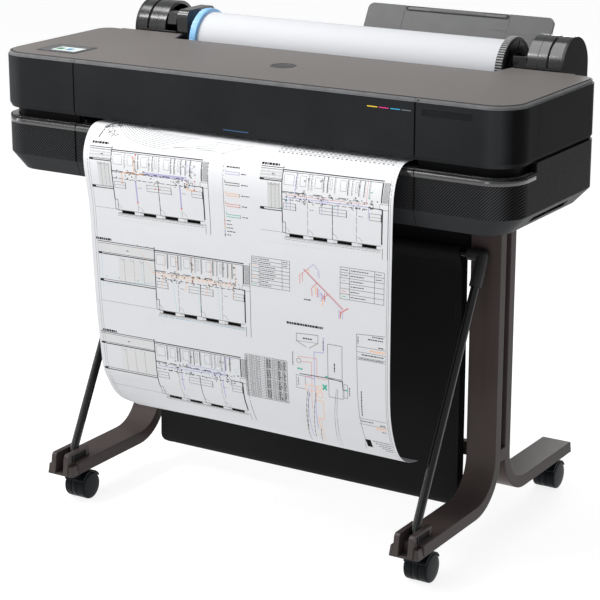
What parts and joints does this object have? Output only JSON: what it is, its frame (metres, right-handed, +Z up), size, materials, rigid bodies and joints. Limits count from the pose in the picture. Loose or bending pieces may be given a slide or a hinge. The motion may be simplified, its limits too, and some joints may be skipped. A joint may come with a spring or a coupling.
{
  "type": "large format plotter",
  "caption": "Roll-fed large format plotter on a wheeled stand, with a lift-up front flap, a rear sheet tray, a roll on its spindle and a swinging fabric catch basket.",
  "frame": {"origin": "on the floor, under the middle of the outline of the whole object", "axes": "+Z up, +X to the right of a person in front of it, the front faces -Y"},
  "size_m": [1.013, 0.599, 0.8779],
  "materials": {
    "cover_plastic": "fine-grained moulded plastic",
    "textured_plastic": "moulded plastic with a fine diagonal rib texture",
    "lid_plastic": "warm grey moulded plastic with a fine diagonal weave texture",
    "gloss_black": "polished",
    "display": "back-lit touch display",
    "holder_plastic": "semi-gloss moulded plastic",
    "flange_blue": "moulded plastic",
    "flange_black": "moulded plastic with a ribbed rim",
    "media_paper": "matte coated paper",
    "tray_plastic": "moulded plastic",
    "inner_plastic": "moulded plastic",
    "ink_plastic": "moulded plastic",
    "steel_plate": "zinc-plated sheet",
    "steel_shaft": "ground and polished",
    "motor_case": "satin",
    "supply_case": "stamped sheet",
    "board": "solder-masked laminate",
    "rubber_black": "matte",
    "stand_paint": "dark brown powder coat",
    "foot_plastic": "dark brown moulded plastic",
    "tube_paint": "gloss black",
    "caster_plastic": "moulded nylon",
    "basket_fabric": "woven polyester"
  },
  "bodies": {
    "root": {"basket_rear_bar": "tube_paint", "basket_rear_cloth": "basket_fabric", "bottom_pan": "cover_plastic", "carriage_motor": "motor_case", "caster_sockets": "caster_plastic", "chassis": "steel_plate", "cross_brace": "stand_paint", "display_bezel": "gloss_black", "display_glass": "display", "drive_belt": "rubber_black", "feed_belt": "rubber_black", "feed_motor": "motor_case", "foot_blocks": "foot_plastic", "front_legs": "stand_paint", "guide_frame": "steel_plate", "ink_cartridges": "ink_plastic", "lower_front_cover": "textured_plastic", "lower_left_cover": "textured_plastic", "lower_right_cover": "textured_plastic", "main_board": "board", "platen": "inner_plastic", "power_inlet": "inner_plastic", "power_supply": "supply_case", "printed_sheet": "media_paper", "rear_cover": "cover_plastic", "rear_legs": "stand_paint", "roll_cradle": "inner_plastic", "roll_holder_left": "holder_plastic", "roll_holder_right": "holder_plastic", "service_station": "inner_plastic", "top_skin": "lid_plastic", "upper_left_cover": "cover_plastic", "upper_right_cover": "cover_plastic"},
    "front_door": {"front_door": "cover_plastic"},
    "spindle": {"spindle_rod": "flange_black", "paper_roll": "media_paper", "flange_right": "flange_black"},
    "movable_flange": {"flange_left": "flange_blue"},
    "holder_lever": {"holder_lever": "holder_plastic"},
    "sheet_tray": {"sheet_tray": "tray_plastic"},
    "tray_extension": {"tray_extension": "tray_plastic"},
    "basket_frame": {"basket_rods": "tube_paint", "basket_elbows": "caster_plastic", "basket_crossbar": "tube_paint", "basket_front_cloth": "basket_fabric"},
    "print_carriage": {"print_carriage": "inner_plastic"},
    "drive_pulley": {"drive_pulley": "steel_plate"},
    "idler_pulley": {"idler_pulley": "steel_plate"},
    "feed_roller": {"feed_roller": "steel_shaft"},
    "feed_pinion": {"feed_pinion": "steel_shaft"},
    "pinch_rollers": {"pinch_rollers": "rubber_black"},
    "cutter": {"cutter": "inner_plastic"},
    "caster_front_left": {"caster_fork_front_left": "caster_plastic"},
    "wheels_front_left": {"caster_wheels_front_left": "caster_plastic"},
    "caster_front_right": {"caster_fork_front_right": "caster_plastic"},
    "wheels_front_right": {"caster_wheels_front_right": "caster_plastic"},
    "caster_rear_left": {"caster_fork_rear_left": "caster_plastic"},
    "wheels_rear_left": {"caster_wheels_rear_left": "caster_plastic"},
    "caster_rear_right": {"caster_fork_rear_right": "caster_plastic"},
    "wheels_rear_right": {"caster_wheels_rear_right": "caster_plastic"}
  },
  "joints": [
    {"name": "door_hinge", "type": "hinge", "parent": "root", "child": "front_door", "pos_m": [0, -0.2412, 0.811], "axis": [-1, 0, 0], "range_deg": [0, 95]},
    {"name": "roll_spin", "type": "hinge", "parent": "root", "child": "spindle", "pos_m": [0.012, 0.1205, 0.8015], "axis": [1, 0, 0], "continuous": true},
    {"name": "flange_slide", "type": "slide", "parent": "spindle", "child": "movable_flange", "axis": [-1, 0, 0], "range_m": [0, 0.012]},
    {"name": "lever_hinge", "type": "hinge", "parent": "root", "child": "holder_lever", "pos_m": [-0.356, 0.0945, 0.838], "axis": [-1, 0, 0], "range_deg": [0, 40]},
    {"name": "tray_hinge", "type": "hinge", "parent": "root", "child": "sheet_tray", "pos_m": [0.165, 0.1855, 0.791], "axis": [-1, 0, 0], "range_deg": [0, 50]},
    {"name": "tray_extend", "type": "slide", "parent": "sheet_tray", "child": "tray_extension", "axis": [0, 0.4848, 0.8746], "range_m": [0, 0.045]},
    {"name": "basket_hinge", "type": "hinge", "parent": "root", "child": "basket_frame", "pos_m": [0, -0.2575, 0.092], "axis": [1, 0, 0], "range_deg": [0, 28]},
    {"name": "carriage_slide", "type": "slide", "parent": "root", "child": "print_carriage", "axis": [-1, 0, 0], "range_m": [0, 0.76]},
    {"name": "drive_pulley_spin", "type": "hinge", "parent": "root", "child": "drive_pulley", "pos_m": [0.45, -0.0665, 0.76], "axis": [0, 1, 0], "continuous": true},
    {"name": "idler_pulley_spin", "type": "hinge", "parent": "root", "child": "idler_pulley", "pos_m": [-0.384, -0.0665, 0.76], "axis": [0, 1, 0], "continuous": true},
    {"name": "feed_spin", "type": "hinge", "parent": "root", "child": "feed_roller", "pos_m": [0.02, -0.0555, 0.6948], "axis": [1, 0, 0], "continuous": true},
    {"name": "feed_pinion_spin", "type": "hinge", "parent": "root", "child": "feed_pinion", "pos_m": [0.455, 0.0065, 0.652], "axis": [1, 0, 0], "continuous": true},
    {"name": "pinch_spin", "type": "hinge", "parent": "root", "child": "pinch_rollers", "pos_m": [0.005, -0.0555, 0.714], "axis": [1, 0, 0], "continuous": true},
    {"name": "cutter_slide", "type": "slide", "parent": "root", "child": "cutter", "axis": [1, 0, 0], "range_m": [0, 0.66]},
    {"name": "swivel_front_left", "type": "hinge", "parent": "root", "child": "caster_front_left", "pos_m": [-0.354, -0.2505, 0.05], "axis": [0, 0, 1], "continuous": true},
    {"name": "roll_front_left", "type": "hinge", "parent": "caster_front_left", "child": "wheels_front_left", "pos_m": [-0.354, -0.2325, 0.025], "axis": [1, 0, 0], "continuous": true},
    {"name": "swivel_front_right", "type": "hinge", "parent": "root", "child": "caster_front_right", "pos_m": [0.354, -0.2505, 0.05], "axis": [0, 0, 1], "continuous": true},
    {"name": "roll_front_right", "type": "hinge", "parent": "caster_front_right", "child": "wheels_front_right", "pos_m": [0.354, -0.2325, 0.025], "axis": [1, 0, 0], "continuous": true},
    {"name": "swivel_rear_left", "type": "hinge", "parent": "root", "child": "caster_rear_left", "pos_m": [-0.354, 0.2815, 0.05], "axis": [0, 0, 1], "continuous": true},
    {"name": "roll_rear_left", "type": "hinge", "parent": "caster_rear_left", "child": "wheels_rear_left", "pos_m": [-0.354, 0.2635, 0.025], "axis": [1, 0, 0], "continuous": true},
    {"name": "swivel_rear_right", "type": "hinge", "parent": "root", "child": "caster_rear_right", "pos_m": [0.354, 0.2815, 0.05], "axis": [0, 0, 1], "continuous": true},
    {"name": "roll_rear_right", "type": "hinge", "parent": "caster_rear_right", "child": "wheels_rear_right", "pos_m": [0.354, 0.2635, 0.025], "axis": [1, 0, 0], "continuous": true}
  ],
  "couplings": [
    {"joint": "drive_pulley_spin", "follows": "carriage_slide", "rad_per_m": 103.09},
    {"joint": "idler_pulley_spin", "follows": "carriage_slide", "rad_per_m": 103.09},
    {"joint": "feed_pinion_spin", "follows": "feed_spin", "ratio": 2.8391},
    {"joint": "pinch_spin", "follows": "feed_spin", "ratio": -2},
    {"joint": "roll_spin", "follows": "feed_spin", "ratio": -0.2376}
  ]
}
